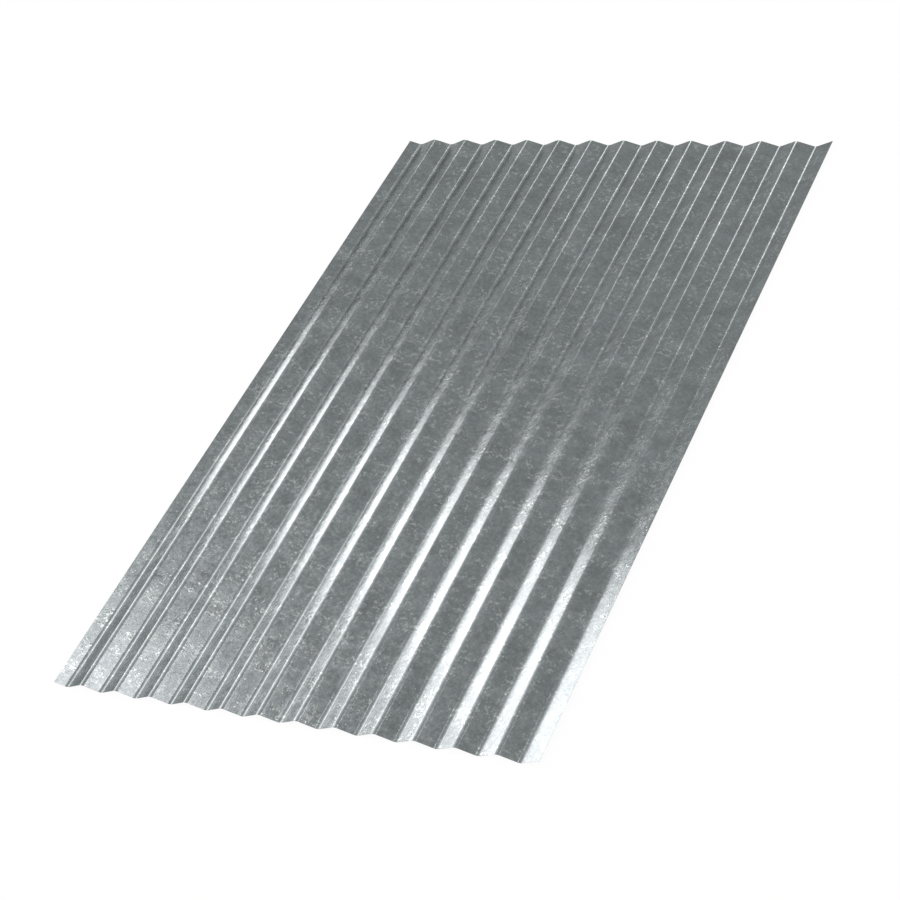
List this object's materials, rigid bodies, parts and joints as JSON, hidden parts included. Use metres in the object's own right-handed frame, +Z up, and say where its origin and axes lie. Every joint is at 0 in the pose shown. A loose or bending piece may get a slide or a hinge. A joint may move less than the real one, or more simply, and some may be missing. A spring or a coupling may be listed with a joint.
{
  "type": "corrugated metal sheet",
  "caption": "Long thin galvanised steel sheet, roll-formed into even rounded waves along its length, for roofs and cladding; one side edge laps over the next sheet.",
  "frame": {"origin": "centre of the sheet's footprint, level with the undersides of the valleys it rests on", "axes": "+X across the waves towards the edge whose flank rises to the height of the crowns, +Y along the waves, +Z up out of the face that is weathered"},
  "size_m": [1.1776, 1.865, 0.0171],
  "materials": {
    "galvanised_steel": "satin"
  },
  "bodies": {
    "root": {"corrugated_sheet": "galvanised_steel"}
  },
  "joints": []
}
